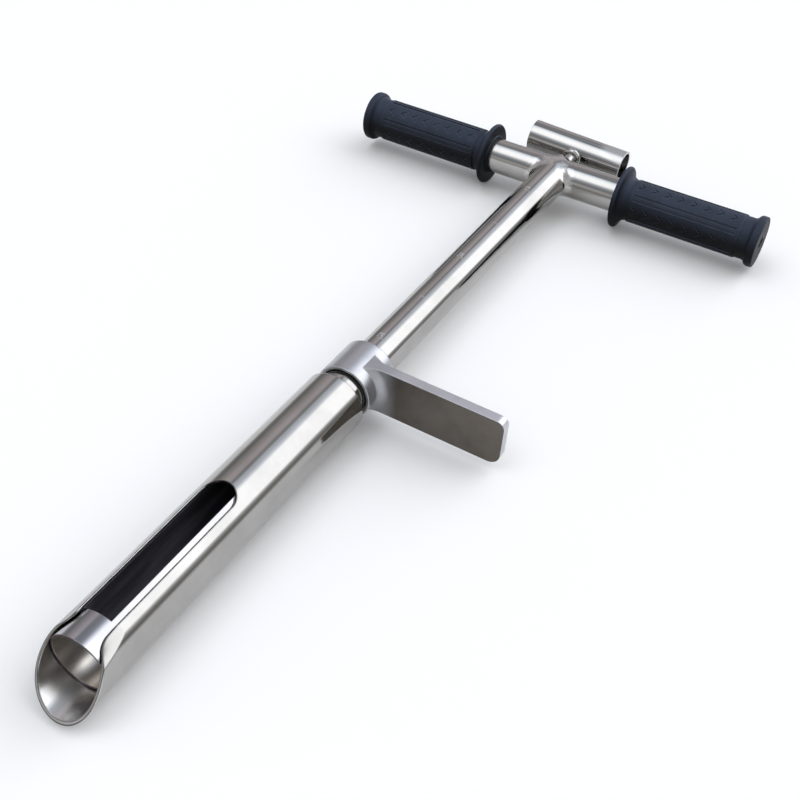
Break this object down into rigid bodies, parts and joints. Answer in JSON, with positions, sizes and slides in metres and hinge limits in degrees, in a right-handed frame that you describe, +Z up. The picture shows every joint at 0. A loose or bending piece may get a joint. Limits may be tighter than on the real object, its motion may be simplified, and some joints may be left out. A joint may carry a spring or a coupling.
{
  "type": "soil probe",
  "caption": "Hand soil probe with a cross handle, a swivelling foot pedal and a barrel whose window is opened and closed by turning an inner tube with a cross knob.",
  "frame": {"origin": "bottom centre of the bounding box, with the probe lying on the floor on its grips and its window facing up", "axes": "+Z up; +Y along the shaft from the tip toward the cross handle; +X along the crossbar toward the grip on the foot pedal's side"},
  "size_m": [0.314, 0.586, 0.045],
  "materials": {
    "tube_steel": "mirror polished stainless",
    "inner_steel": "polished stainless, dulled by soil",
    "weld_steel": "bright weld bead",
    "rod_steel": "turned bar",
    "cast_steel": "satin cast stainless",
    "bronze": "plain bearing bronze",
    "spring_steel": "dark spring steel",
    "slip_plastic": "natural plastic washer",
    "grip_rubber": "soft black rubber"
  },
  "bodies": {
    "frame": {"crossbar": "tube_steel", "left_grip": "grip_rubber", "right_grip": "grip_rubber", "shaft": "tube_steel", "shaft_weld": "weld_steel", "upper_rod_bush": "rod_steel", "neck_adapter": "tube_steel", "lower_rod_bush": "bronze", "outer_tube": "tube_steel", "thrust_washer": "bronze", "retaining_ring": "spring_steel"},
    "sampler": {"knob_tube": "tube_steel", "knob_weld": "weld_steel", "control_rod": "rod_steel", "rod_retaining_ring": "spring_steel", "inner_tube": "inner_steel", "inner_cap": "inner_steel", "cap_thrust_washer": "slip_plastic", "lock_washer": "rod_steel", "rod_nut": "rod_steel"},
    "pedal": {"foot_pedal": "cast_steel", "pedal_bush": "cast_steel"}
  },
  "joints": [
    {"name": "knob_turn", "type": "hinge", "parent": "frame", "child": "sampler", "pos_m": [0, 0, 0.0225], "axis": [0, 1, 0], "continuous": true},
    {"name": "pedal_swivel", "type": "hinge", "parent": "frame", "child": "pedal", "pos_m": [0, -0.03825, 0.0225], "axis": [0, 1, 0], "continuous": true}
  ]
}
